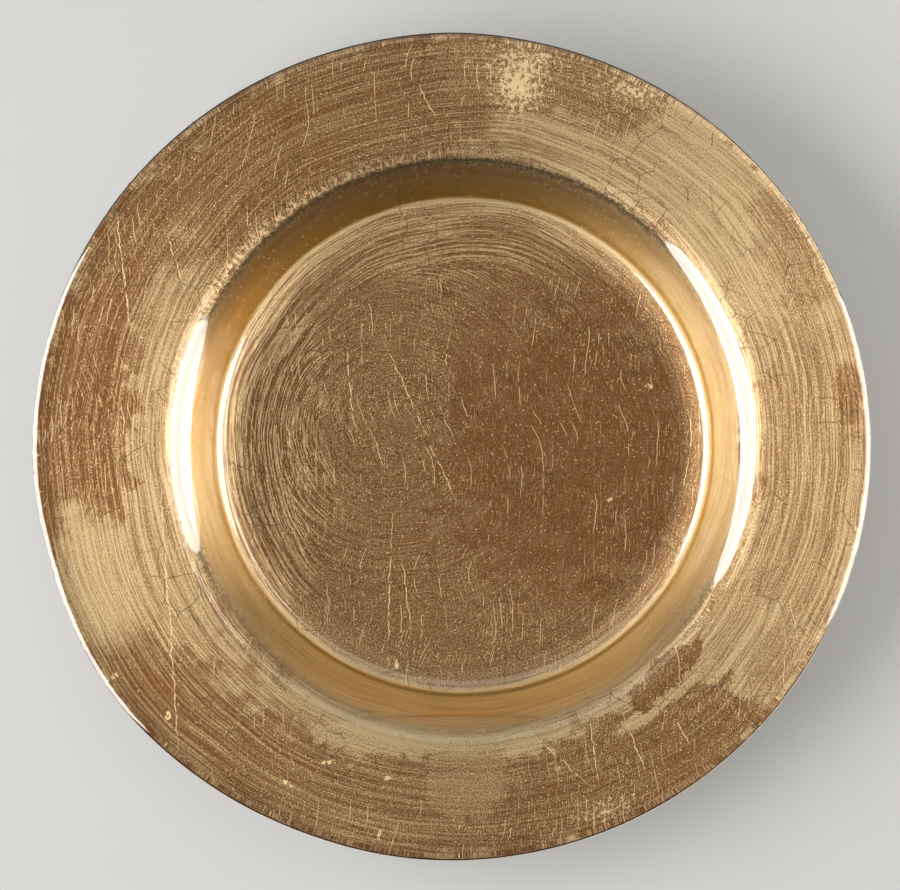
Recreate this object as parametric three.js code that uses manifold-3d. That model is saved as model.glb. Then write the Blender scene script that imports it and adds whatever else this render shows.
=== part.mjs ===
// A clear glass salad plate gilded on the back. The glass is slumped into a flat-floored well with a
// broad rim. Square sheets of metal leaf are laid side by side on its underside, and a coat of
// lacquer seals them. Millimetres, +Z up. The origin is on the surface that the plate stands on,
// under the middle of its outline.

import * as THREE from 'three';
import { mergeVertices } from 'three/addons/utils/BufferGeometryUtils.js';
import Module from 'manifold-3d';

// The outline, which is hand-cut, so it is a little oval and a little wavy
const plateLength = 203;
const outOfRound = 2.8;
const ovalTurnDegrees = 4.3;
const edgeWaver = 0.55;

// Where the outline swells or draws in, how far round each place spreads, and its share of the waver
const waverShares = [
  { atDegrees: 90, spreadDegrees: 9, share: 0.6 },
  { atDegrees: 195, spreadDegrees: 7, share: -0.8 },
  { atDegrees: 217, spreadDegrees: 11, share: 1 },
  { atDegrees: 249, spreadDegrees: 11, share: -0.6 },
];

// The section, with sharp corners that the bends then round
const rimWidth = 31.3;
const rimRise = 3;
const wallRun = 10.6;
const wellDepth = 12.2;
const floorBendRadius = 9;
const shoulderBendRadius = 6.2;

// The well isn't in the middle of the outline
const wellShiftX = 2.8;
const wellShiftY = 0.55;

// The layers, from the eating side down
const glassThickness = 4;
const leafThickness = 0.3;
const coatThickness = 0.6;
const seatGap = 0.3;

// How far the leaf and the coat wrap round the lower half of the glass edge
const leafWrapDegrees = 60;
const coatWrapDegrees = 45;

// Where the seams between the sheets of leaf lie, as shares of the plate's length from its middle:
// the upright seams from left to right, and the level ones from the top down. A square of the grid
// that holds less than the least share of a full sheet is left without a sheet.
const columnSeamShares = [-0.396, -0.029, 0.338];
const rowSeamShares = [0.3985, 0.0411, -0.3163];
const leastSheetShare = 0.002;

// How finely the round stretches are cut into flats
const turnSteps = 72;
const bendSteps = 4;
const edgeSteps = 6;
const wrapSteps = 3;

const radians = THREE.MathUtils.degToRad;

// Sizes that follow from the ones above
const meanRadius = plateLength / 2 - outOfRound / 4;
const shoulderRadius = meanRadius - rimWidth;
const floorRadius = shoulderRadius - wallRun;
const rimSlope = Math.atan2(rimRise, rimWidth);
const wallSlope = Math.atan2(wellDepth, wallRun);
const leafTopDepth = glassThickness + seatGap;
const leafBackDepth = leafTopDepth + leafThickness;
const coatTopDepth = leafBackDepth + seatGap;
const plateThickness = coatTopDepth + coatThickness;
const floorHeight = plateThickness;
const shoulderTopRadius = shoulderBendRadius + plateThickness;

// The glass edge is a half round. Its middle lies in from the outline by whatever stands out most.
const edgeRadius = glassThickness / 2;
const leafReach = (leafBackDepth - edgeRadius) * Math.sin(radians(leafWrapDegrees) + rimSlope);
const coatReach = (plateThickness - edgeRadius) * Math.sin(radians(coatWrapDegrees) + rimSlope);
const edgeReach = Math.max(edgeRadius, leafReach, coatReach);
const edgeMiddle = new THREE.Vector2();
edgeMiddle.x = meanRadius - edgeReach;
edgeMiddle.y = floorHeight + wellDepth + (edgeMiddle.x - shoulderRadius) * Math.tan(rimSlope)
  - edgeRadius / Math.cos(rimSlope);

// The rim is stretched to the oval between the end of the shoulder and the start of the edge.
const shoulderEnd = shoulderRadius
  + shoulderTopRadius * Math.tan((wallSlope - rimSlope) / 2) * Math.cos(rimSlope);
const rimEnd = edgeMiddle.x - edgeRadius * Math.sin(rimSlope);

// Points on an arc about a middle, from one angle to another, both ends among them
function arc(middle, radius, fromAngle, toAngle, steps) {
  const points = [];
  for (let step = 0; step <= steps; step += 1) {
    const angle = THREE.MathUtils.lerp(fromAngle, toAngle, step / steps);
    points.push(new THREE.Vector2(
      middle.x + radius * Math.cos(angle),
      middle.y + radius * Math.sin(angle),
    ));
  }
  return points;
}

// The middle of the bend that rounds the corner where a line of one slope turns into the next
function bendMiddle(corner, slopeBefore, slopeAfter, radius) {
  const halfTurn = (slopeAfter - slopeBefore) / 2;
  const aim = (slopeBefore + slopeAfter) / 2 + Math.sign(halfTurn) * Math.PI / 2;
  const distance = radius / Math.cos(halfTurn);
  return new THREE.Vector2(
    corner.x + distance * Math.cos(aim),
    corner.y + distance * Math.sin(aim),
  );
}

const quarterTurn = Math.PI / 2;
const floorCorner = new THREE.Vector2(floorRadius, floorHeight);
const shoulderCorner = new THREE.Vector2(shoulderRadius, floorHeight + wellDepth);
const floorBendMiddle = bendMiddle(floorCorner, 0, wallSlope, floorBendRadius);
const shoulderBendMiddle = bendMiddle(shoulderCorner, wallSlope, rimSlope, shoulderTopRadius);

// Half of the plate's section at a depth below its top face, from the axis out to the edge's start
function layerLine(depth) {
  const edgeTurn = edgeRadius - depth;
  return [
    new THREE.Vector2(0, floorHeight - depth),
    ...arc(floorBendMiddle, floorBendRadius + depth, -quarterTurn, wallSlope - quarterTurn, bendSteps),
    ...arc(shoulderBendMiddle, shoulderTopRadius - depth, wallSlope + quarterTurn,
      rimSlope + quarterTurn, bendSteps),
    new THREE.Vector2(
      edgeMiddle.x - edgeTurn * Math.sin(rimSlope),
      edgeMiddle.y + edgeTurn * Math.cos(rimSlope),
    ),
  ];
}

// The line of a layer on the underside, carried on round the edge as far as the layer wraps
function wrappedLine(depth, wrapDegrees) {
  const start = rimSlope - quarterTurn;
  const round = arc(edgeMiddle, depth - edgeRadius, start, start + radians(wrapDegrees), wrapSteps);
  return [...layerLine(depth), ...round.slice(1)];
}

// How far the outline lies from its middle in a direction, waver and all
function outlineRadius(angle) {
  const halfLength = plateLength / 2;
  const halfBreadth = halfLength - outOfRound / 2;
  const turned = angle - radians(ovalTurnDegrees);
  const oval = halfLength * halfBreadth
    / Math.hypot(halfBreadth * Math.cos(turned), halfLength * Math.sin(turned));
  let waver = 0;
  for (const place of waverShares) {
    const away = THREE.MathUtils.euclideanModulo(angle - radians(place.atDegrees) + Math.PI, 2 * Math.PI)
      - Math.PI;
    waver += edgeWaver * place.share * Math.exp(-((away / radians(place.spreadDegrees)) ** 2));
  }
  return oval + waver;
}

// Moves a point of the round section to its place in the oval plate with its shifted well
function layOut(point) {
  const radius = Math.hypot(point.x, point.y);
  const angle = Math.atan2(point.y, point.x);
  const direction = new THREE.Vector2(Math.cos(angle), Math.sin(angle));
  const fromWell = direction.clone().multiplyScalar(Math.min(radius, shoulderEnd));
  fromWell.x += wellShiftX;
  fromWell.y += wellShiftY;
  const fromOutline = direction.clone().multiplyScalar(
    outlineRadius(angle) - meanRadius + Math.max(radius, rimEnd),
  );
  const blend = THREE.MathUtils.clamp((radius - shoulderEnd) / (rimEnd - shoulderEnd), 0, 1);
  fromWell.lerp(fromOutline, blend);
  point.x = fromWell.x;
  point.y = fromWell.y;
}

// A closed solid geometry from a section that runs out along the underside and back along the top
function turned(section) {
  const lathe = new THREE.LatheGeometry(section, turnSteps);
  lathe.rotateX(quarterTurn);
  lathe.deleteAttribute('normal');
  lathe.deleteAttribute('uv');
  const places = lathe.attributes.position;
  const point = new THREE.Vector3();
  for (let vertex = 0; vertex < places.count; vertex += 1) {
    point.fromBufferAttribute(places, vertex);
    layOut(point);
    places.setXYZ(vertex, point.x, point.y, point.z);
  }
  const merged = mergeVertices(lathe);
  const corners = [];
  for (let start = 0; start < merged.index.count; start += 3) {
    const face = [0, 1, 2].map((step) => merged.index.getX(start + step));
    if (new Set(face).size === 3) {
      corners.push(...face);
    }
  }
  merged.setIndex(corners);
  return merged;
}

function solidOf(geometry) {
  return new wasm.Manifold(new wasm.Mesh({
    numProp: 3,
    vertProperties: new Float32Array(geometry.attributes.position.array),
    triVerts: new Uint32Array(geometry.index.array),
  }));
}

function geometryOf(solid) {
  const mesh = solid.getMesh();
  const geometry = new THREE.BufferGeometry();
  geometry.setAttribute('position', new THREE.BufferAttribute(mesh.vertProperties, 3));
  geometry.setIndex(new THREE.BufferAttribute(mesh.triVerts, 1));
  return geometry;
}

function named(name, geometry, material) {
  const mesh = new THREE.Mesh(geometry, material);
  mesh.name = name;
  return mesh;
}

// The glass: one thickness throughout, with a half-round edge
function glassBlank() {
  const top = layerLine(0);
  const edge = arc(edgeMiddle, edgeRadius, rimSlope - quarterTurn, rimSlope + quarterTurn, edgeSteps);
  const section = [...layerLine(glassThickness), ...edge.slice(1, -1), ...top.reverse()];
  const material = new THREE.MeshStandardMaterial({
    color: 0xeef5f0, roughness: 0.04, metalness: 0, transparent: true, opacity: 0.3,
  });
  return named('glass_blank', turned(section), material);
}

// The leaf as if it were one skin, which the seams then cut into sheets
function leafSkin() {
  const back = wrappedLine(leafBackDepth, leafWrapDegrees);
  const face = wrappedLine(leafTopDepth, leafWrapDegrees);
  return solidOf(turned([...back, ...face.reverse()]));
}

// The upright block between two seams each way, less half a gap at each seam
function gridBlock(left, right, bottom, top) {
  const height = plateThickness + wellDepth + rimRise;
  const block = new THREE.BoxGeometry(right - left - seatGap, top - bottom - seatGap, 2 * height);
  block.translate((left + right) / 2, (bottom + top) / 2, 0);
  block.deleteAttribute('normal');
  block.deleteAttribute('uv');
  return solidOf(mergeVertices(block));
}

// The sheets are lettered from left to right and numbered from the top down. The outer ones run on
// past the edge of the plate, and the skin ends them there.
function leafSheets() {
  const material = new THREE.MeshStandardMaterial({ color: 0xb08a52, roughness: 0.35, metalness: 1 });
  const skin = leafSkin();
  const columns = [-1, ...columnSeamShares, 1].map((share) => share * plateLength);
  const rows = [1, ...rowSeamShares, -1].map((share) => share * plateLength);
  const fullSheet = (columns[2] - columns[1]) * (rows[1] - rows[2]) * leafThickness;
  const sheets = [];
  for (let row = 0; row < rows.length - 1; row += 1) {
    for (let column = 0; column < columns.length - 1; column += 1) {
      const block = gridBlock(columns[column], columns[column + 1], rows[row + 1], rows[row]);
      const sheet = skin.intersect(block);
      if (sheet.volume() > fullSheet * leastSheetShare) {
        const letter = 'abcd'[column];
        sheets.push(named(`leaf_${letter}${row + 1}`, geometryOf(sheet), material));
      }
    }
  }
  return sheets;
}

// The lacquer that seals the back. Its flat middle is what the plate stands on.
function backCoat() {
  const back = wrappedLine(plateThickness, coatWrapDegrees);
  const face = wrappedLine(coatTopDepth, coatWrapDegrees);
  const material = new THREE.MeshStandardMaterial({ color: 0x4b3522, roughness: 0.4, metalness: 0 });
  return named('back_coat', turned([...back, ...face.reverse()]), material);
}

const wasm = await Module();
wasm.setup();

const plate = new THREE.Group();
plate.add(glassBlank(), ...leafSheets(), backCoat());

// The waver isn't even all round, so the middle of the finished outline is found and set at zero.
const middle = new THREE.Box3().setFromObject(plate).getCenter(new THREE.Vector3());
plate.position.set(-middle.x, -middle.y, 0);

export default plate;
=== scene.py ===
import math

import bmesh
import bpy
import mathutils
import numpy as np
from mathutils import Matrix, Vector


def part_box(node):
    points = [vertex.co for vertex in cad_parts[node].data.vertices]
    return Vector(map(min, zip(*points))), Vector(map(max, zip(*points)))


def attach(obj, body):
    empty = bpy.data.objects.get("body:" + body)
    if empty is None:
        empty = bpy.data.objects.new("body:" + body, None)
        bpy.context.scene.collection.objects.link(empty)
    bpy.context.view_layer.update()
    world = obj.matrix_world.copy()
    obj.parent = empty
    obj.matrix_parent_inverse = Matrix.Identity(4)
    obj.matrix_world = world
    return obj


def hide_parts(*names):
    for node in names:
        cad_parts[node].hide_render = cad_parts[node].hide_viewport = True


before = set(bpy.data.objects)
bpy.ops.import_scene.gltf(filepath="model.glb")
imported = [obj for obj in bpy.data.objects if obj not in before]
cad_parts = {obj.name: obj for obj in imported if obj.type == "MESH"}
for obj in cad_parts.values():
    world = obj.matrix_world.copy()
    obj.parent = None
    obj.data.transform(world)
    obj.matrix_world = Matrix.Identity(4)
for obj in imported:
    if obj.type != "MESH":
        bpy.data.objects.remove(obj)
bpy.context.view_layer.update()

# The glass blank. One sheet of clear glass slumped into a mould: flat floor, short steep wall, broad
# rim, and an edge ground round by hand. The outline is a little oval and wavy, and the well lies a
# little to the right of its middle. Every other layer of the plate is fixed to its underside.

MM = 0.001
PLATE_LENGTH = 203 * MM
OUT_OF_ROUND = 2.8 * MM
OVAL_TURN = math.radians(4.3)
EDGE_WAVER = 0.55 * MM
# Direction in degrees, spread in degrees, and share of the waver.
WAVER_SHARES = [(90, 9, 0.6), (195, 7, -0.8), (217, 11, 1), (249, 11, -0.6)]
RIM_WIDTH = 31.3 * MM
RIM_RISE = 2.87 * MM
WALL_RUN = 10.6 * MM
WELL_DEPTH = 12.2 * MM
FLOOR_BEND = 4.5 * MM
FLOOR_BEND_UNDER = 21 * MM
SHOULDER_BEND = 11.7 * MM
SHOULDER_LOW_BEND = 20 * MM
SHOULDER_HIGH_BEND = 3 * MM
SHOULDER_BREAK = math.radians(27)
WELL_SHIFT = np.array([2.8, 0.55]) * MM
GLASS_THICKNESS = 4 * MM
EDGE_RUN = 3.4 * MM
EDGE_DROP = 1.6 * MM
EDGE_UNDER_RUN = 1.4 * MM
BEVEL_RUN = 1.2 * MM
BEVEL_SLOPE = math.radians(31)
BEVEL_ROUND = 1.5 * MM
SIDE_ROUND = 0.25 * MM
INSET = 0.12 * MM
TURN_STEPS = 480
RING_STEP = 1.2 * MM
BEND_STEPS = 14
SHOULDER_STEPS = 12
BEVEL_STEPS = 8
SIDE_STEPS = 6
WRAP_STEPS = 12

GLASS_TINT = (0.985, 0.995, 0.988, 1)
GLASS_IOR = 1.52
# Hand-made glass is a little uneven: its gloss comes and goes, and its faces waver.
GLOSS_BEST, GLOSS_WORST = 0.055, 0.085
SMEARS_PER_METRE = 60
WAVES_PER_METRE = 45
WAVE_HEIGHT = 0.05 * MM

mean_radius = PLATE_LENGTH / 2 - OUT_OF_ROUND / 4
shoulder_radius = mean_radius - RIM_WIDTH
floor_radius = shoulder_radius - WALL_RUN
rim_slope = math.atan2(RIM_RISE, RIM_WIDTH)
wall_slope = math.atan2(WELL_DEPTH, WALL_RUN)
rim_climb = math.tan(rim_slope)

floor_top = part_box("glass_blank")[0].z + GLASS_THICKNESS
outer_radius = mean_radius - INSET


def rim_top(radius):
    return floor_top + WELL_DEPTH + (radius - shoulder_radius) * rim_climb


# The edge is ground: a narrow bevel on top, a low straight side, and a round underneath.
edge_under_x = outer_radius - EDGE_UNDER_RUN
edge_z = rim_top(outer_radius) - EDGE_DROP
turn_half = math.tan((wall_slope - rim_slope) / 2)
shoulder_end = shoulder_radius + SHOULDER_BEND * turn_half * math.cos(rim_slope)
rim_end = outer_radius - EDGE_RUN


def arc(middle, radius, start, end, steps):
    angles = np.linspace(start, end, steps + 1)
    return np.stack([middle[0] + radius * np.cos(angles), middle[1] + radius * np.sin(angles)], 1)


def straight(start, end):
    """Points between two places of the section, a ring step apart, without the places themselves."""
    count = max(1, int(np.hypot(*(np.array(end) - start)) / RING_STEP))
    shares = np.arange(1, count)[:, None] / count
    return start + shares * (np.array(end) - start)


def bend_middle(corner, before, after, radius):
    """The middle of the arc that rounds a corner between two slopes."""
    half = (after - before) / 2
    aim = (before + after) / 2 + math.copysign(math.pi / 2, half)
    away = radius / math.cos(half)
    return corner + away * np.array([math.cos(aim), math.sin(aim)])


shoulder_bend_middle = bend_middle(
    np.array([shoulder_radius, floor_top + WELL_DEPTH]), wall_slope, rim_slope, SHOULDER_BEND
)


def top_shoulder(steps):
    """The shoulder of the top face: a wide bend on the wall that runs into a tight one on the rim."""
    bends = [
        (SHOULDER_LOW_BEND, wall_slope, SHOULDER_BREAK),
        (SHOULDER_HIGH_BEND, SHOULDER_BREAK, rim_slope),
    ]
    run = sum(radius * (math.sin(first) - math.sin(last)) for radius, first, last in bends)
    rise = sum(radius * (math.cos(last) - math.cos(first)) for radius, first, last in bends)
    climb = math.tan(wall_slope)
    rim_height = WELL_DEPTH + (run - shoulder_radius) * rim_climb
    start = (rim_height - rise + climb * floor_radius) / (climb - rim_climb)
    at = np.array([start, floor_top + (start - floor_radius) * climb])
    places = []
    for radius, first, last in bends:
        middle = at + radius * np.array([math.sin(first), -math.cos(first)])
        bend = arc(middle, radius, first + math.pi / 2, last + math.pi / 2, steps)
        places.extend(bend)
        at = bend[-1]
    return np.array(places)


def half_section(depth, end):
    """The plate's section at a depth below its top face, from the axis to a point on the rim."""
    quarter = math.pi / 2
    centre = np.array([0, floor_top - depth])
    corner = np.array([floor_radius + depth * math.tan(wall_slope / 2), floor_top - depth])
    bend = FLOOR_BEND if depth == 0 else FLOOR_BEND_UNDER + depth - GLASS_THICKNESS
    floor_bend_middle = bend_middle(corner, 0, wall_slope, bend)
    floor_bend = arc(floor_bend_middle, bend, -quarter, wall_slope - quarter, BEND_STEPS)
    shoulder = top_shoulder(SHOULDER_STEPS)
    if depth > 0:
        start, end_angle = wall_slope + quarter, rim_slope + quarter
        shoulder = arc(shoulder_bend_middle, SHOULDER_BEND - depth, start, end_angle, BEND_STEPS)
    return np.concatenate([
        centre[None], straight(centre, floor_bend[0]),
        floor_bend, straight(floor_bend[-1], shoulder[0]),
        shoulder, straight(shoulder[-1], end), end[None],
    ])


def oval_arc(middle, run, drop, start, end, steps):
    return middle + (arc((0, 0), 1, start, end, steps) * (run, drop))


def top_line():
    """The glass's top face, its bevel and the side below it, from the axis out."""
    quarter = math.pi / 2
    bevel_start = np.array([outer_radius - BEVEL_RUN, rim_top(outer_radius - BEVEL_RUN)])
    bevel_end = np.array([outer_radius, bevel_start[1] - BEVEL_RUN * math.tan(BEVEL_SLOPE)])
    start_middle = bend_middle(bevel_start, rim_slope, -BEVEL_SLOPE, BEVEL_ROUND)
    end_middle = bend_middle(bevel_end, -BEVEL_SLOPE, -quarter, SIDE_ROUND)
    start = arc(start_middle, BEVEL_ROUND, rim_slope + quarter, quarter - BEVEL_SLOPE, BEVEL_STEPS)
    end = arc(end_middle, SIDE_ROUND, quarter - BEVEL_SLOPE, 0, SIDE_STEPS)
    return np.concatenate([half_section(0, start[0]), start[1:], end, [(outer_radius, edge_z)]])


def under_line(depth, wrap):
    """A line that hugs the underside at a depth and turns up round the edge by a part of a turn."""
    run = EDGE_UNDER_RUN + (depth - GLASS_THICKNESS) / 2
    reach = edge_z - rim_top(edge_under_x) + depth / math.cos(rim_slope)
    drop = math.sqrt(reach**2 - (run * rim_climb) ** 2)
    start = -math.pi / 2 + math.atan(run / drop * rim_climb)
    edge = oval_arc((edge_under_x, edge_z), run, drop, start, start + wrap, WRAP_STEPS)
    return np.concatenate([half_section(depth, edge[0]), edge[1:]])


def outline_radius(angle):
    """How far the plate's edge is from its middle in a direction."""
    half_length = PLATE_LENGTH / 2
    half_breadth = half_length - OUT_OF_ROUND / 2
    turned = angle - OVAL_TURN
    oval = half_length * half_breadth / np.hypot(half_breadth * np.cos(turned), half_length * np.sin(turned))
    for at, spread, share in WAVER_SHARES:
        away = (angle - math.radians(at) + math.pi) % (2 * math.pi) - math.pi
        oval = oval + EDGE_WAVER * share * np.exp(-((away / math.radians(spread)) ** 2))
    return oval


all_round = np.linspace(0, 2 * math.pi, TURN_STEPS, endpoint=False)
outline = outline_radius(all_round)[:, None] * np.stack([np.cos(all_round), np.sin(all_round)], 1)
outline_middle = (outline.min(0) + outline.max(0)) / 2


def lay_out(radius, angle):
    """Places of the round section in the oval plate with its shifted well, as x and y."""
    direction = np.stack([np.cos(angle), np.sin(angle)], -1)
    from_well = np.minimum(radius, shoulder_end)[..., None] * direction + WELL_SHIFT
    reach = outline_radius(angle) - mean_radius + np.maximum(radius, rim_end)
    from_outline = reach[..., None] * direction
    outward = np.clip((radius - shoulder_end) / (rim_end - shoulder_end), 0, 1)[..., None]
    return from_well * (1 - outward) + from_outline * outward - outline_middle


def turned(section):
    """Vertices and faces of a closed layer, from a section that starts and ends on the axis."""
    radius, height = section[1:-1].T
    places = lay_out(radius[:, None] + 0 * all_round, all_round + 0 * radius[:, None])
    heights = np.repeat(height, TURN_STEPS).reshape(len(height), TURN_STEPS, 1)
    rings = np.concatenate([places, heights], 2).reshape(-1, 3)
    middle = WELL_SHIFT - outline_middle
    ends = np.array([[*middle, section[0][1]], [*middle, section[-1][1]]])
    faces = []
    for ring in range(len(height) - 1):
        low, high = ring * TURN_STEPS, (ring + 1) * TURN_STEPS
        for step in range(TURN_STEPS):
            after = (step + 1) % TURN_STEPS
            faces.append((low + step, low + after, high + after, high + step))
    first, last = len(rings), len(rings) + 1
    top = (len(height) - 1) * TURN_STEPS
    for step in range(TURN_STEPS):
        after = (step + 1) % TURN_STEPS
        faces.append((first, after, step))
        faces.append((last, top + step, top + after))
    return np.concatenate([rings, ends]), faces


def solid(name, section, material):
    """A smooth object from a closed half section, turned into the plate's outline."""
    mesh = bpy.data.meshes.new(name)
    places, faces = turned(section)
    mesh.from_pydata(places.tolist(), [], faces)
    mesh.materials.append(material)
    mesh.shade_smooth()
    piece = bpy.data.objects.new(name, mesh)
    bpy.context.scene.collection.objects.link(piece)
    return piece


def material_of(name):
    """A new material, its Principled shader and a function that adds a node to it.

    The script keeps that function as add, so noise() and its like work on the newest material.
    """
    material = bpy.data.materials.new(name)
    material.use_nodes = True
    tree = material.node_tree

    def add(kind, *wires, **settings):
        node = tree.nodes.new(kind)
        for key, value in settings.items():
            setattr(node, key, value)
        for socket, value in wires:
            if isinstance(value, bpy.types.NodeSocket):
                tree.links.new(value, node.inputs[socket])
            else:
                node.inputs[socket].default_value = value
        return node

    return material, tree.nodes["Principled BSDF"], add


def noise(place, scale, detail=2, roughness=0.5, dimensions="2D", output="Fac"):
    wires = (("Vector", place), ("Scale", scale), ("Detail", detail), ("Roughness", roughness))
    return add("ShaderNodeTexNoise", *wires, noise_dimensions=dimensions).outputs[output]


def blend(share, first, second):
    return add("ShaderNodeMix", (0, share), (2, first), (3, second), data_type="FLOAT").outputs[0]


clear_glass, shader, add = material_of("clear_glass")
object_place = add("ShaderNodeTexCoord").outputs["Object"]
smear = blend(noise(object_place, SMEARS_PER_METRE, 4, 0.6, "3D"), GLOSS_BEST, GLOSS_WORST)
wave = noise(object_place, WAVES_PER_METRE, 1, 0.5, "3D")
wavy = add("ShaderNodeBump", ("Height", wave), ("Strength", 1), ("Distance", WAVE_HEIGHT))
clear_glass.node_tree.links.new(smear, shader.inputs["Roughness"])
clear_glass.node_tree.links.new(wavy.outputs[0], shader.inputs["Normal"])
shader.inputs["Base Color"].default_value = GLASS_TINT
shader.inputs["IOR"].default_value = GLASS_IOR
shader.inputs["Transmission Weight"].default_value = 1

under = under_line(GLASS_THICKNESS, math.pi)
under = under[under[:, 1] < edge_z]
glass_section = np.concatenate([under, top_line()[::-1]])
glass = solid("glass", glass_section, clear_glass)
glass.visible_shadow = False
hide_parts("glass_blank")
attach(glass, "root")

# The metal leaf. Sheets of brass leaf laid on the sized underside of the glass, each lapping over the
# last, then brushed down in rings about the middle. The brushing cracks and tears them, and old
# leaf is browner than fresh leaf.

SHEET_SEAMS_X = np.array([-0.396, -0.029, 0.338]) * PLATE_LENGTH
SHEET_SEAMS_Y = np.array([0.3985, 0.0411, -0.3163]) * PLATE_LENGTH
LAP = 2.7 * MM
LEAF_GAP = 0.02 * MM
LEAF_LAYER = 0.012 * MM
LEAF_THICKNESS = 0.01 * MM
LEAF_WRAP = math.radians(90)
RAGGED = 0.35 * MM
CUT_SLACK = 0.12 * MM
SHARP_BORDER = math.radians(50)

# The lighter leaf colour is fresh leaf. It also serves as painted light at the bend of the floor, near it
# and on the near shoulder.
FRESH_AND_LIT = (0.43, 0.315, 0.172, 1)
AGED = (0.1, 0.041, 0.012, 1)
WALL_TONE = (0.33, 0.2, 0.07, 1)
# This darker wall colour is also painted shade, at the far left and at the foot of the wall. The next one is
# painted light on the near side of the wall.
WALL_AGED_AND_SHADED = (0.21, 0.095, 0.006, 1)
WALL_LIT = (0.72, 0.41, 0.12, 1)
BARE_AND_GLINT = (0.60, 0.45, 0.26, 1)
# This darkest colour is real tarnish in the wall's streaks and in the crazing. It is painted shade on the
# far side of the wall, along the shoulder and on the far side of the edge.
TARNISH_AND_SHADE = (0.045, 0.032, 0.01, 1)

# Places where the leaf differs from what is around it: x and y from the plate's middle in
# millimetres, half length, half breadth, turn in degrees, softness of the border, and then, each
# from 0 to 1, how fresh, how deeply brushed and how cracked the leaf is there.
LEAF_PATCHES = [
    (-44, 61, 60, 26, 33, 0.2, (0.05, 0.65, 0.8)),
    (-10, 86, 26, 13, 0, 0.3, (0.18, 0.7, 0.5)),
    (-69, 20, 27, 8, 78, 0.55, (0.64, 0.8, 0.1)),
    (-90.5, 2, 37, 13.5, 84, 0.12, (0.06, 0.9, 0.9)),
    (-57, -73, 40, 13, -42, 0.3, (0.12, 1, 0.4)),
    (0, -87, 48, 13, 0, 0.15, (0.2, 0.7, 0.6)),
    (-38, -78, 18, 9, -25, 0.25, (0.12, 0.7, 0.6)),
    (4, -82, 10, 10, 0, 0.1, (0.4, 0.35, 0.2)),
    (-17, -70, 15, 4, -3, 0.08, (0.7, 0.3, 0)),
    (45, -77, 34, 14, 25, 0.12, (0.08, 0.5, 1)),
    (52, -60.5, 14, 2.2, 40, 0.1, (0.7, 0.5, 0.1)),
    (52.2, -55.6, 11, 3.2, 46, 0.05, (-0.05, 0.2, 0.6)),
    (79, -50.4, 11, 6, 60, 0.3, (0.4, 0.4, 1)),
    (-86, -31, 16, 9, -70, 0.4, (0.85, 0.8, 0.1)),
    (64, 58, 35, 13, -54, 0.2, (0.82, 0.7, 0.1)),
    (88, -7, 38, 15, 86, 0.2, (0.46, 0.8, 0.4)),
    (96.5, 12, 9, 3, 95, 0.2, (0.1, 0.9, 0.8)),
    (82, 47, 15, 7, -65, 0.3, (0.4, 0.6, 0.8)),
    (38, 85, 15, 8, -12, 0.2, (0.28, 0.4, 1)),
    (18, 91, 24, 9, -6, 0.15, (0.24, 0.4, 0.8)),
    (-46, -4, 13, 44, 0, 0.6, (0.08, 1, 0.9)),
    (2, 50, 44, 9, 0, 0.4, (0.16, 0.6, 0.2)),
    (-10, -46, 36, 12, 0, 0.4, (0.12, 0.15, 1)),
    (32, 0, 32, 36, 0, 0.4, (-0.12, 0.3, 0.7)),
]
# Places where the leaf is torn off in crumbs: x and y of the middle, half length, half breadth, turn
# and, from 0 to 1, how much of it is left.
TORN_PATCHES = [
    (16, 88, 7.5, 8, 0, 0.1),
    (18, 93, 14, 7, 0, 0.5),
    (44, 86, 16, 5, -22, 0.8),
    (38, -88, 15, 4, 20, 0.9),
]

# Scratches: x and y of the middle, half length, half breadth, and turn.
SCRATCHES = [
    (-7.9, 6.8, 20, 0.1, -66),
    (-24.8, 14.5, 9, 0.12, -84),
    (-79.6, 43, 15, 0.12, -83),
    (-67, 45, 8, 0.1, -72),
    (-15.2, -38, 15, 0.11, -91),
    (-11, -36, 9, 0.1, -83),
    (-68.5, -41, 34, 0.1, -86),
    (-6, 84, 6, 0.1, -65),
    (34.5, -73, 8, 0.1, -83),
    (44.2, -71.5, 7.8, 0.1, -68),
    (55.8, -68.6, 4, 0.1, -60),
    (26.5, -76, 9, 0.09, -42),
]
# Chips of the leaf that came off in small spots, written in the same way.
CHIPS = [
    (-81.7, -55.5, 1.5, 0.6, 20),
    (-68.8, -65.2, 1.1, 0.6, 60),
    (-30.4, -76.8, 1.4, 0.6, 10),
    (-15.6, -80.4, 1.0, 0.6, 0),
    (-17.5, -94.2, 0.5, 1.2, 0),
    (-40, -82, 1.6, 0.5, -30),
    (48, 14.9, 0.9, 0.5, 0),
    (38.8, -12.9, 0.7, 0.4, 40),
    (-13.4, -53.4, 0.5, 1.1, 10),
]

# How fresh, brushed and cracked the leaf is outside the patches.
FLOOR_STATE = (0.1, 0.4, 0.7)
RIM_STATE = (0.66, 0.85, 0.3)

# Distances from the middle of the well, in millimetres.
FLOOR_BRUSH_END, RIM_BRUSH_START = 38, 50
FLOOR_BRIGHTENS, FLOOR_BRIGHTEST = 50, 60
FLOOR_END, WALL_START = 60.5, 62
BEND_LINE, BEND_WIDTH = 60.7, 1.7
CORNER_LINE, CORNER_WIDTH = 62.2, 1
WALL_SHADE_STARTS, WALL_SHADE_FULL = 64, 70
WALL_END, SHOULDER_LINE = 68, 71
SHOULDER_SHADE_LINE = 70
RUBBED_LINE, RUBBED_WIDTH = 71.6, 1.8
NEAR_SHOULDER, NEAR_SHOULDER_WIDTH = 72.5, 4
EDGE_TONE_RUN = 10

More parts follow.
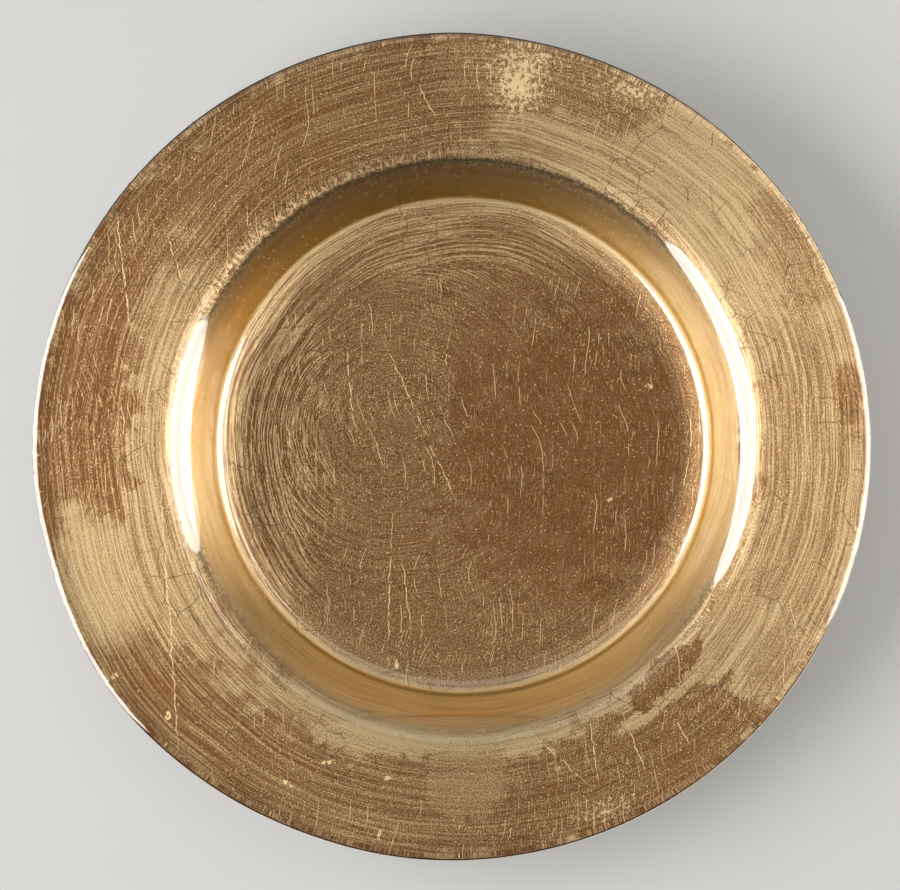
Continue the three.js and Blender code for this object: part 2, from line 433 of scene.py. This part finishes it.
# Brush marks: how far they run round a middle, and how many lie on a millimetre.
RIM_BRUSH = (2.5, 3)
FLOOR_BRUSH = (4, 3.3)
FLOOR_BRUSH_SHIFT = (-16.5, 3.5, 0)
GRAIN_STRETCH = (1, 0.7, 0)
SWAY = 5
SWAYS_PER_MILLIMETRE = 0.02
BORDER_WAVER = 1.6
BEND_WAVER = 1.5
WARP = 1.6

# Noises: features on a millimetre, detail, and roughness.
BORDER_NOISE = (0.16, 6, 0.62)
GRAIN_NOISE = (3.5, 3, 0.7)
CRACKING_NOISE = (0.06, 3, 0.5)
WARP_NOISE = (0.3, 4, 0.6)
CRUMBLED_NOISE = (1.3, 4, 0.7)
UNBROKEN_NOISE = (0.4, 3, 0.6)
FLECK_NOISE = (3, 3, 0.7)
FLECKING_NOISE = (0.15, 3, 0.6)
CRUMB_NOISE = (0.85, 7, 0.8)
CRAZING_NOISE = (0.055, 2, 0.5)
SHOULDER_SHADE_NOISE = (1.2, 4, 0.75)

# Where a noise or a share is cut: nothing at the first value, and all of it at the second.
CRACKING_CUT = (0.35, 0.62)
CRUMBLED_CUT = (0.42, 0.56)
UNBROKEN_CUT = (0.36, 0.5)
THREAD_CUT = (0.15, 0.5)
GLINT_CUT = (0.3, 0.8)
FLECK_CUT = (0.62, 0.72)
FLECKING_CUT = (0.46, 0.64)
TORN_CUT = (0.37, 0.43)
RUBBED_CUT = (0.5, 0.56)
CRAZING_CUT = (0.5, 0.6)
STREAK_CUT = (0.52, 0.3)

# Ways out from the middle of the well: how far up or right they point, from -1 to 1, where a look
# starts and where it is full.
NEAR_SHOULDER_UP = (-0.6, -0.95)
LIT_WALL_UP = (-0.6, -0.97)
WALL_SHADE_UP = (-0.2, 0.6)
SHOULDER_SHADE_UP = (-1.05, -0.2)
RUBBED_UP, RUBBED_RIGHT = (-0.2, 0.3), (0.6, -0.8)
EDGE_SHADE_UP = (0.1, 0.5)
FAR_LEFT, FAR_LEFT_REACH = (-0.45, 0.89), (0.1, 0.9)

# How much fresher or older each of these makes the leaf. At the bend of the floor, near it and on the near
# shoulder, the added freshness is painted light.
RIM_BRUSH_DEPTH, WALL_BRUSH_DEPTH, FLOOR_BRUSH_DEPTH = 2.6, 1.2, 2.4
STROKE_LEVEL, STROKE_WIDTH, STROKE_DEPTH = 0.46, 0.035, -0.75
GLINT_LEVEL, GLINT_WIDTH = 0.56, 0.03
GRAIN_DEPTH, WALL_GRAIN_DEPTH = 3, 0.45
BEND_HIGHLIGHT = 0.7
NEAR_SHOULDER_LIGHT = 0.5
NEAR_BEND_LIGHT = 0.25
FLOOR_SHEET_TONES, RIM_SHEET_TONES = 0.04, 0.1

# The wall's colours: how much its noises add, and how strong each layer of colour is. The line at the foot
# of the wall and the dimming on the far side are painted shade.
WALL_STREAKS, WALL_SPECKLE = 1.6, 1.2
WALL_STRENGTH = 0.85
CORNER_SHADE_STRENGTH = 0.8
STREAK_STRENGTH = 0.3
WALL_SHADE_STRENGTH = 0.25

# Lines of cracks: spacing, wander, width and length in millimetres, share of the leaf that has them,
# and the scale at which they lean.
CRACKS = (0.8, 0.5, 0.09, 2.2, 0.46, 0.03)
THREADS = (2.4, 3, 0.08, 12, 0.44, 0.014)
LEAN = 0.45
CRACK_STRENGTH = 0.65
CRACKED_ON_WALL = 0.15
LEAST_CRACKED = 0.35
FLECKED_ON_WALL = 0.25
FLECK_STRETCH = (1.2, 0.5, 0)

# Specks: one in the middle of some cells. Crazing: the borders of other cells. Both are in cells on a
# millimetre and in shares of a cell.
SPECK_CELLS, SPECK_SIZE = 0.9, (0.08, 0.16)
SPECK_PICK, SPECK_RARITY = 40, 0.62
CRAZE_CELLS, CRAZE_WIDTH = 0.16, (0.01, 0.035)
CRAZE_STRENGTH, CRAZE_LOST_ON_WALL = 0.6, 0.5
MARK_BORDER = (0.8, 1.3)

# Torn leaf: how firmly it holds all over a patch, and how much more so towards its border.
HOLD, HOLD_GROWTH = 0.12, 0.17
TORN_STRENGTH = 0.78

# Painted shade and rubbing at the shoulder.
SHOULDER_SHADE_WAVER, SHOULDER_SHADE_RUN, SHOULDER_SHADE_REACH = 5, 2.5, 3.6
SHOULDER_SHADE_STRENGTH = 0.9
RUBBED_STRENGTH = 0.75

# The clean border round the edge, and the gloss of the leaf.
EDGE_STEEPNESS = (0.7, 0.96)
EDGE_METAL_LOST = 0.8
AGED_ROUGHNESS, FRESH_ROUGHNESS, WALL_ROUGHNESS = 0.56, 0.46, 0.38
BRUSH_RELIEF = 0.025 * MM
LEAF_ANISOTROPY = 0.36

metal_leaf, shader, add = material_of("metal_leaf")


def number(operation, *values):
    return add("ShaderNodeMath", *enumerate(values), operation=operation).outputs[0]


def times(first, *others):
    for other in others:
        first = number("MULTIPLY", first, other)
    return first


def more(value, amount, share):
    """A value with a share of an amount added to it."""
    return number("MULTIPLY_ADD", amount, share, value)


def centred(value):
    """A value from 0 to 1, moved to lie on both sides of 0."""
    return number("SUBTRACT", value, 0.5)


def vector(operation, *values):
    node = add("ShaderNodeVectorMath", *enumerate(values), operation=operation)
    return node.outputs["Value" if operation == "LENGTH" else "Vector"]


def scaled(value, factor):
    return add("ShaderNodeVectorMath", ("Vector", value), ("Scale", factor), operation="SCALE").outputs[0]


def ramp(value, low, high):
    """0 below low, 1 above high, and a smooth rise between."""
    node = add("ShaderNodeMapRange", (0, value), (1, low), (2, high), interpolation_type="SMOOTHSTEP")
    return node.outputs[0]


def fall(value, low, high):
    """1 below low, 0 above high, and a smooth fall between."""
    return number("SUBTRACT", 1, ramp(value, low, high))


def cells(place, scale, feature):
    wires = (("Vector", place), ("Scale", scale))
    return add("ShaderNodeTexVoronoi", *wires, feature=feature, voronoi_dimensions="2D")


def blend_vector(share, first, second):
    return add("ShaderNodeMix", (0, share), (4, first), (5, second), data_type="VECTOR").outputs[1]


def blend_colour(share, first, second):
    return add("ShaderNodeMix", (0, share), (6, first), (7, second), data_type="RGBA").outputs[2]


def upward(value):
    """A vector that points up, as long as the value."""
    return add("ShaderNodeCombineXYZ", ("Z", value)).outputs[0]


def ridge(value, level, width):
    """1 where a value crosses a level, 0 further from it."""
    return fall(number("ABSOLUTE", number("SUBTRACT", value, level)), 0, width)


def brushed(from_middle, length_share, fineness):
    """Brush marks in rings: long round a middle, fine across."""
    away = more(vector("LENGTH", from_middle), noise(flat, SWAYS_PER_MILLIMETRE), SWAY)
    round_way = scaled(vector("NORMALIZE", from_middle), length_share)
    return noise(vector("ADD", round_way, upward(number("MULTIPLY", away, fineness))), 1, 2, 0.7, "3D")


def oval(x, y, half_length, half_breadth, turn, place):
    """The distance from an oval's middle, where 1 is on the oval."""
    inside = add(
        "ShaderNodeMapping", ("Vector", place), ("Location", (x, y, 0)),
        ("Rotation", (0, 0, math.radians(turn))), ("Scale", (half_length, half_breadth, 1)),
        vector_type="TEXTURE",
    ).outputs[0]
    return vector("LENGTH", inside)


def patch(x, y, half_length, half_breadth, turn, softness):
    """1 inside a patch with a ragged border, 0 outside."""
    reach = number("ADD", oval(x, y, half_length, half_breadth, turn, flat), border)
    return fall(reach, 1 - softness, 1 + softness)


def cracked(spacing, wander, width, crack_length, share, lean_scale):
    """Bright lines that lean and wander up and down, broken into lengths."""
    across = add("ShaderNodeSeparateXYZ", ("Vector", flat)).outputs["X"]
    lean = noise(vector("MULTIPLY", flat, (0.4, 1, 0)), lean_scale)
    sideways = noise(vector("MULTIPLY", flat, (0.35, 1, 0)), 0.3 / wander, 3, 0.5)
    place = more(more(across, lean, LEAN / lean_scale), sideways, 0.8 * wander)
    edge = add(
        "ShaderNodeTexVoronoi", ("W", place), ("Scale", 1 / spacing),
        feature="DISTANCE_TO_EDGE", voronoi_dimensions="1D",
    ).outputs["Distance"]
    line = fall(edge, width / spacing * 0.4, width / spacing)
    broken = noise(vector("MULTIPLY", flat, (3 / crack_length, 1 / crack_length, 0)), 1, 3, 0.5)
    return times(line, ramp(broken, 1 - share, 1.04 - share))


def seen_from_above():
    """Where a point lies in millimetres, seen from above, and the same from the middle of the well."""
    millimetres = scaled(add("ShaderNodeTexCoord").outputs["Object"], 1 / MM)
    from_outline = vector("MULTIPLY", millimetres, (1, 1, 0))
    return from_outline, vector("SUBTRACT", from_outline, (*((WELL_SHIFT - outline_middle) / MM), 0))


flat, from_middle = seen_from_above()
radius = vector("LENGTH", from_middle)
out_way = vector("NORMALIZE", from_middle)
right_way, up_way, _ = add("ShaderNodeSeparateXYZ", ("Vector", out_way)).outputs
off_floor = ramp(radius, FLOOR_END, WALL_START)
on_wall = times(off_floor, fall(radius, WALL_END, SHOULDER_LINE))
rough_border = centred(noise(flat, *BORDER_NOISE))
border = times(rough_border, BORDER_WAVER)

rim_brush = brushed(from_middle, *RIM_BRUSH)
floor_brush = brushed(vector("SUBTRACT", from_middle, FLOOR_BRUSH_SHIFT), *FLOOR_BRUSH)
brush = blend(ramp(radius, FLOOR_BRUSH_END, RIM_BRUSH_START), floor_brush, rim_brush)
grain = noise(vector("MULTIPLY", flat, GRAIN_STRETCH), *GRAIN_NOISE)

state = blend_vector(off_floor, FLOOR_STATE, RIM_STATE)
for *place, patch_state in LEAF_PATCHES:
    state = blend_vector(patch(*place), state, patch_state)
fresh_and_lit, brushed_share, cracked_share = add("ShaderNodeSeparateXYZ", ("Vector", state)).outputs
uneven = ramp(noise(flat, *CRACKING_NOISE), *CRACKING_CUT)
cracked_share = times(cracked_share, blend(uneven, LEAST_CRACKED, 1))

# Fresh leaf is laid bare along the brush marks. A painted highlight runs along the bend of the floor,
# painted light falls on the near shoulder, and the floor grows lighter towards its bend with painted light.
rim_depth = blend(on_wall, RIM_BRUSH_DEPTH, WALL_BRUSH_DEPTH)
brush_depth = times(brushed_share, blend(off_floor, FLOOR_BRUSH_DEPTH, rim_depth))
fresh_and_lit = more(fresh_and_lit, centred(brush), brush_depth)
strokes = ridge(brush, STROKE_LEVEL, STROKE_WIDTH)
fresh_and_lit = more(fresh_and_lit, strokes, times(brushed_share, STROKE_DEPTH))
# Painted highlight along the bend of the floor.
floor_bend = ridge(more(radius, rough_border, BEND_WAVER), BEND_LINE, BEND_WIDTH)
fresh_and_lit = more(fresh_and_lit, floor_bend, BEND_HIGHLIGHT)
# Painted light on the near side of the shoulder.
lit_near_shoulder = times(ridge(radius, NEAR_SHOULDER, NEAR_SHOULDER_WIDTH), ramp(up_way, *NEAR_SHOULDER_UP))
fresh_and_lit = more(fresh_and_lit, lit_near_shoulder, NEAR_SHOULDER_LIGHT)
# Painted light: the floor grows lighter towards its bend.
lit_near_bend = times(ramp(radius, FLOOR_BRIGHTENS, FLOOR_BRIGHTEST), number("SUBTRACT", 1, off_floor))
fresh_and_lit = more(fresh_and_lit, lit_near_bend, NEAR_BEND_LIGHT)
sheet_tone = centred(add("ShaderNodeObjectInfo").outputs["Random"])
fresh_and_lit = more(fresh_and_lit, sheet_tone, blend(off_floor, FLOOR_SHEET_TONES, RIM_SHEET_TONES))
fresh_and_lit = more(fresh_and_lit, centred(grain), blend(on_wall, GRAIN_DEPTH, WALL_GRAIN_DEPTH))
colour = blend_colour(fresh_and_lit, AGED, FRESH_AND_LIT)

# The wall is more evenly coloured, with painted shade at the far left and painted light on the near side.
far_left = number("ADD", times(right_way, FAR_LEFT[0]), times(up_way, FAR_LEFT[1]))
wall_shade_and_age = ramp(far_left, *FAR_LEFT_REACH)
wall_shade_and_age = more(wall_shade_and_age, centred(rim_brush), WALL_STREAKS)
wall_shade_and_age = more(wall_shade_and_age, centred(grain), WALL_SPECKLE)
wall_colour = blend_colour(wall_shade_and_age, WALL_TONE, WALL_AGED_AND_SHADED)
wall_colour = blend_colour(ramp(up_way, *LIT_WALL_UP), wall_colour, WALL_LIT)
colour = blend_colour(times(on_wall, WALL_STRENGTH), colour, wall_colour)
# Painted shade: a dark line where the floor meets the wall.
corner = times(ridge(radius, CORNER_LINE, CORNER_WIDTH), CORNER_SHADE_STRENGTH)
colour = blend_colour(corner, colour, WALL_AGED_AND_SHADED)
streaks = times(ramp(rim_brush, *STREAK_CUT), on_wall, STREAK_STRENGTH)
colour = blend_colour(streaks, colour, TARNISH_AND_SHADE)
# Painted shade darkens the upper wall on the far side.
wall_shade = times(ramp(radius, WALL_SHADE_STARTS, WALL_SHADE_FULL), ramp(up_way, *WALL_SHADE_UP), on_wall, WALL_SHADE_STRENGTH)
colour = blend_colour(wall_shade, colour, TARNISH_AND_SHADE)

# Cracks run mostly up and down as the plate lies in the photograph.
cracks = times(cracked(*CRACKS), cracked_share, CRACK_STRENGTH)
threads = times(cracked(*THREADS), ramp(cracked_share, *THREAD_CUT))
opened_and_glints = times(number("MAXIMUM", cracks, threads), blend(on_wall, 1, CRACKED_ON_WALL))
warp = scaled(vector("SUBTRACT", noise(flat, *WARP_NOISE, output="Color"), (0.5, 0.5, 0.5)), WARP)
warped = vector("MULTIPLY", vector("ADD", flat, warp), (1, 1, 0))
crumbled = ramp(noise(flat, *CRUMBLED_NOISE), *CRUMBLED_CUT)
unbroken = ramp(noise(flat, *UNBROKEN_NOISE), *UNBROKEN_CUT)
for marks, left_whole in ((SCRATCHES, unbroken), (CHIPS, crumbled)):
    for mark in marks:
        bare = times(fall(oval(*mark, warped), *MARK_BORDER), left_whole)
        opened_and_glints = number("MAXIMUM", opened_and_glints, bare)

# Painted glints run along the brush marks on the floor, and here and there the brush has opened the leaf in
# flecks and round specks.
glints = times(ridge(brush, GLINT_LEVEL, GLINT_WIDTH), ramp(brushed_share, *GLINT_CUT))
opened_and_glints = number("MAXIMUM", opened_and_glints, times(glints, number("SUBTRACT", 1, off_floor)))
flecks = ramp(noise(vector("MULTIPLY", flat, FLECK_STRETCH), *FLECK_NOISE), *FLECK_CUT)
fleck_share = times(cracked_share, ramp(noise(flat, *FLECKING_NOISE), *FLECKING_CUT))
opened_and_glints = number("MAXIMUM", opened_and_glints, times(flecks, blend(on_wall, fleck_share, FLECKED_ON_WALL)))
cell = cells(flat, SPECK_CELLS, "F1")
rare = number("GREATER_THAN", noise(cell.outputs["Color"], SPECK_PICK), SPECK_RARITY)
specks = times(fall(cell.outputs["Distance"], *SPECK_SIZE), rare)
opened_and_glints = number("MAXIMUM", opened_and_glints, specks)
crumbs = noise(flat, *CRUMB_NOISE)
for *place, left_over in TORN_PATCHES:
    held = more(HOLD * left_over, oval(*place, flat), HOLD_GROWTH)
    torn = ramp(number("SUBTRACT", crumbs, held), *TORN_CUT)
    opened_and_glints = number("MAXIMUM", opened_and_glints, times(torn, TORN_STRENGTH))
# Bare leaf shows pale in the cracks, scratches, chips, flecks, specks and torn places. The same pale colour
# paints the glints.
colour = blend_colour(opened_and_glints, colour, BARE_AND_GLINT)

# In places the leaf is crazed with fine dark lines.
to_border = cells(warped, CRAZE_CELLS, "DISTANCE_TO_EDGE").outputs["Distance"]
craze = fall(to_border, *CRAZE_WIDTH)
craze = times(craze, ramp(noise(flat, *CRAZING_NOISE), *CRAZING_CUT))
craze = times(craze, number("SUBTRACT", CRAZE_STRENGTH, times(on_wall, CRAZE_LOST_ON_WALL)))
colour = blend_colour(craze, colour, TARNISH_AND_SHADE)

# A dark line of painted shade runs along the shoulder, crumbled and fading out on the near side, and outside
# it the leaf is rubbed.
line = number("ABSOLUTE", number("SUBTRACT", radius, SHOULDER_SHADE_LINE))
line = more(line, noise(flat, *SHOULDER_SHADE_NOISE), SHOULDER_SHADE_WAVER)
line = times(fall(line, SHOULDER_SHADE_RUN, SHOULDER_SHADE_REACH), ramp(up_way, *SHOULDER_SHADE_UP), SHOULDER_SHADE_STRENGTH)
colour = blend_colour(line, colour, TARNISH_AND_SHADE)
rubbed = times(ramp(crumbs, *RUBBED_CUT), ridge(radius, RUBBED_LINE, RUBBED_WIDTH))
rubbed = times(rubbed, ramp(up_way, *RUBBED_UP), ramp(right_way, *RUBBED_RIGHT), RUBBED_STRENGTH)
colour = blend_colour(rubbed, colour, BARE_AND_GLINT)

# Round the edge the leaf is clean, with painted shade on the far side.
facing = add("ShaderNodeTexCoord").outputs["Normal"]
steepness = add("ShaderNodeSeparateXYZ", ("Vector", facing)).outputs["Z"]
round_edge = fall(number("ABSOLUTE", steepness), *EDGE_STEEPNESS)
round_edge = times(round_edge, ramp(radius, SHOULDER_LINE, SHOULDER_LINE + EDGE_TONE_RUN))
edge_colour = blend_colour(ramp(up_way, *EDGE_SHADE_UP), BARE_AND_GLINT, TARNISH_AND_SHADE)
colour = blend_colour(round_edge, colour, edge_colour)

link = metal_leaf.node_tree.links.new
link(colour, shader.inputs["Base Color"])
link(number("SUBTRACT", 1, times(round_edge, EDGE_METAL_LOST)), shader.inputs["Metallic"])
off_wall_roughness = blend(fresh_and_lit, AGED_ROUGHNESS, FRESH_ROUGHNESS)
link(blend(on_wall, off_wall_roughness, WALL_ROUGHNESS), shader.inputs["Roughness"])
link(vector("NORMALIZE", blend_vector(off_floor, (0, 1, 0), out_way)), shader.inputs["Tangent"])
relief = add("ShaderNodeBump", ("Height", brush), ("Strength", 1), ("Distance", BRUSH_RELIEF))
link(relief.outputs[0], shader.inputs["Normal"])
shader.inputs["Anisotropic"].default_value = LEAF_ANISOTROPY


def leaf_sheet(name, left, right, bottom, top, depth, seed):
    """A thin sheet under the glass, cut to a square with a ragged border."""
    section = under_line(depth, LEAF_WRAP)
    radius, height = section[1:].T
    places = lay_out(radius[:, None] + 0 * all_round, all_round + 0 * radius[:, None])
    middle = WELL_SHIFT - outline_middle
    spare = 2 * RING_STEP
    inside = (
        (places[..., 0] > left - spare) & (places[..., 0] < right + spare)
        & (places[..., 1] > bottom - spare) & (places[..., 1] < top + spare)
    )
    form = bmesh.new()
    made = {}

    def vertex(ring, step):
        key = (ring, step % TURN_STEPS)
        if key not in made:
            x, y = places[key]
            made[key] = form.verts.new((x, y, height[ring]))
        return made[key]

    for ring in range(len(radius) - 1):
        used = inside[ring] | inside[ring + 1]
        for step in np.nonzero(used | np.roll(used, -1))[0]:
            corners = [(ring, step), (ring + 1, step), (ring + 1, step + 1), (ring, step + 1)]
            form.faces.new([vertex(*corner) for corner in corners])
    if left < middle[0] < right and bottom < middle[1] < top:
        centre = form.verts.new((*middle, section[0][1]))
        for step in range(TURN_STEPS):
            form.faces.new((centre, vertex(0, step), vertex(0, step + 1)))
    cuts = [
        ((left, 0, 0), (-1, 0, 0)), ((right, 0, 0), (1, 0, 0)),
        ((0, bottom, 0), (0, -1, 0)), ((0, top, 0), (0, 1, 0)),
    ]
    ragged = np.random.default_rng(seed)
    for point, way in cuts:
        everything = form.verts[:] + form.edges[:] + form.faces[:]
        cut = bmesh.ops.bisect_plane(
            form, geom=everything, plane_co=point, plane_no=way, dist=CUT_SLACK, clear_outer=True
        )
        for element in cut["geom_cut"]:
            if isinstance(element, bmesh.types.BMVert):
                element.co -= mathutils.Vector(way) * ragged.uniform(0, RAGGED)
    bmesh.ops.remove_doubles(form, verts=form.verts[:], dist=LEAF_THICKNESS)
    form.normal_update()
    border_edges = [edge for edge in form.edges if edge.is_boundary]
    faces = form.faces[:]
    back = {vert: form.verts.new(vert.co - vert.normal * LEAF_THICKNESS) for vert in form.verts[:]}
    for face in faces:
        form.faces.new([back[vert] for vert in reversed(face.verts)])
    for edge in border_edges:
        first, second = edge.verts
        form.faces.new([first, second, back[second], back[first]])
    bmesh.ops.recalc_face_normals(form, faces=form.faces[:])
    mesh = bpy.data.meshes.new(name)
    form.to_mesh(mesh)
    form.free()
    mesh.materials.append(metal_leaf)
    mesh.shade_smooth()
    mesh.set_sharp_from_angle(angle=SHARP_BORDER)
    piece = bpy.data.objects.new(name, mesh)
    bpy.context.scene.collection.objects.link(piece)
    return piece


columns = [-PLATE_LENGTH, *SHEET_SEAMS_X, PLATE_LENGTH]
rows = [PLATE_LENGTH, *SHEET_SEAMS_Y, -PLATE_LENGTH]
layer = 0
for row in range(len(rows) - 1):
    for column, letter in enumerate("abcd"):
        node = f"leaf_{letter}{row + 1}"
        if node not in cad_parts:
            continue
        sheet = leaf_sheet(
            node.replace("leaf", "sheet"), columns[column] - LAP, columns[column + 1] + LAP,
            rows[row + 1] - LAP, rows[row] + LAP, GLASS_THICKNESS + LEAF_GAP + layer * LEAF_LAYER, layer,
        )
        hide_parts(node)
        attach(sheet, "root")
        layer += 1

# The coat. Dark bronze lacquer brushed over the leaf to seal it, because bare leaf rubs off. The plate
# stands on it. At the edge it stops lower than the leaf, so it can't be seen from straight above.

COAT_GAP = 0.3 * MM
COAT_WRAP = math.radians(30)
COAT_BRUSH = (2, 0.5)
COAT_RELIEF = 0.1 * MM
LACQUER_THIN = (0.085, 0.05, 0.024, 1)
LACQUER_THICK = (0.05, 0.032, 0.018, 1)
LACQUER_GLOSSY, LACQUER_DULL = 0.3, 0.5
LACQUER_CUT = (0.3, 0.7)
DULLING_NOISE = (0.3, 3)

coat_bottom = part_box("back_coat")[0]
coat_depth = floor_top - coat_bottom.z

lacquer, shader, add = material_of("lacquer")
flat, from_middle = seen_from_above()
brush = brushed(from_middle, *COAT_BRUSH)
link = lacquer.node_tree.links.new
link(blend_colour(ramp(brush, *LACQUER_CUT), LACQUER_THIN, LACQUER_THICK), shader.inputs["Base Color"])
link(blend(noise(flat, *DULLING_NOISE), LACQUER_GLOSSY, LACQUER_DULL), shader.inputs["Roughness"])
relief = add("ShaderNodeBump", ("Height", brush), ("Strength", 1), ("Distance", COAT_RELIEF))
link(relief.outputs[0], shader.inputs["Normal"])

coat_back = under_line(coat_depth, COAT_WRAP)
coat_face = under_line(GLASS_THICKNESS + COAT_GAP, COAT_WRAP)
coat = solid("coat", np.concatenate([coat_back, coat_face[::-1]]), lacquer)
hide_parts("back_coat")
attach(coat, "root")

# The table that the plate stands on. It is painted a matt grey, a little uneven, and it is far
# wider than the picture, so that its border stays out of it.

TABLE_SIZE = 6
PAINT_DARK = (0.232, 0.233, 0.228, 1)
PAINT_PALE = (0.242, 0.243, 0.238, 1)
PAINT_ROUGHNESS = 0.7
MOTTLES_PER_METRE = 12

table_paint, shader, add = material_of("table_paint")
mottle = noise(add("ShaderNodeTexCoord").outputs["Object"], MOTTLES_PER_METRE, 4)
table_paint.node_tree.links.new(blend_colour(mottle, PAINT_DARK, PAINT_PALE), shader.inputs["Base Color"])
shader.inputs["Roughness"].default_value = PAINT_ROUGHNESS
bpy.ops.mesh.primitive_plane_add(size=TABLE_SIZE)
table = bpy.context.object
table.name = "table"
table.data.materials.append(table_paint)

# The lamps. Broad oval soft boxes: a bright one low on the left and one low on the right draw the
# bands on the wall and on the edge. Weaker ones high on the right and at the far side fill the rest.


def lamp(name, azimuth, elevation, distance, width, height, radiance, colour, shadow):
    data = bpy.data.lights.new(name, "AREA")
    data.shape = "ELLIPSE"
    data.color = colour
    data.size, data.size_y = width, height
    # The power of an area lamp is its radiance times its area, here an oval's, times pi.
    data.energy = radiance * (math.pi / 4 * width * height) * math.pi
    light = bpy.data.objects.new(name, data)
    bpy.context.scene.collection.objects.link(light)
    turn, tilt = math.radians(azimuth), math.radians(elevation)
    away = np.array([math.cos(turn) * math.cos(tilt), math.sin(turn) * math.cos(tilt), math.sin(tilt)])
    light.location = (away * distance).tolist()
    light.rotation_euler = light.location.to_track_quat("Z", "Y").to_euler()
    light.visible_camera = False
    light.visible_transmission = False
    data.use_shadow = shadow


# Azimuth and elevation in degrees, distance, width and height in metres, radiance, colour, shadow.
WHITE, WARM = (1, 1, 1), (1, 0.97, 0.92)
lamp("left_lamp", 188, 30, 1.2, 1.55, 0.82, 15, WHITE, True)
lamp("right_lamp", -2, 25, 1.2, 0.95, 1.0, 14, WARM, False)
lamp("high_lamp", 6, 60, 1.2, 0.9, 0.4, 5, WARM, False)
lamp("far_lamp", 95, 60, 1.2, 1.3, 0.7, 1.4, WARM, True)

# The room round the lamps. It is dark on the near side and paler on the far side and below, and it
# doesn't show through the glass.

ROOM_DARK, ROOM_PALE = 0.03, 0.35
PALE_WAY = (-0.1, 0.8, -0.5)
PALE_FROM, PALE_TO = -0.45, 0.8

world = bpy.data.worlds.new("room")
bpy.context.scene.world = world
world.use_nodes = True
world.cycles_visibility.transmission = False
room = world.node_tree
far_share = room.nodes.new("ShaderNodeVectorMath")
far_share.operation = "DOT_PRODUCT"
far_share.inputs[1].default_value = PALE_WAY
level = room.nodes.new("ShaderNodeMapRange")
level.interpolation_type = "SMOOTHSTEP"
limits = {"From Min": PALE_FROM, "From Max": PALE_TO, "To Min": ROOM_DARK, "To Max": ROOM_PALE}
for socket, value in limits.items():
    level.inputs[socket].default_value = value
room.links.new(room.nodes.new("ShaderNodeTexCoord").outputs["Generated"], far_share.inputs[0])
room.links.new(far_share.outputs["Value"], level.inputs["Value"])
room.links.new(level.outputs[0], room.nodes["Background"].inputs["Strength"])
room.nodes["Background"].inputs["Color"].default_value = (1, 1, 1, 1)

# The camera. It looks straight down, as in the photograph, from far enough that the well is hardly
# foreshortened, and the plate fills the frame as it does there.

PIXELS_PER_METRE = 4133
FRAME_WIDTH, FRAME_HEIGHT = 900, 890
PLATE_MIDDLE_PIXEL = (451.5, 446.5)
CAMERA_HEIGHT = 1.6
view_width = FRAME_WIDTH / PIXELS_PER_METRE
camera_data = bpy.data.cameras.new("camera")
camera = bpy.data.objects.new("camera", camera_data)
bpy.context.scene.collection.objects.link(camera)
camera.location = (
    (FRAME_WIDTH / 2 - PLATE_MIDDLE_PIXEL[0]) / PIXELS_PER_METRE,
    (PLATE_MIDDLE_PIXEL[1] - FRAME_HEIGHT / 2) / PIXELS_PER_METRE,
    CAMERA_HEIGHT,
)
camera_data.lens = camera_data.sensor_width * (CAMERA_HEIGHT - edge_z) / view_width
bpy.context.scene.camera = camera
bpy.context.scene.view_settings.view_transform = "Standard"
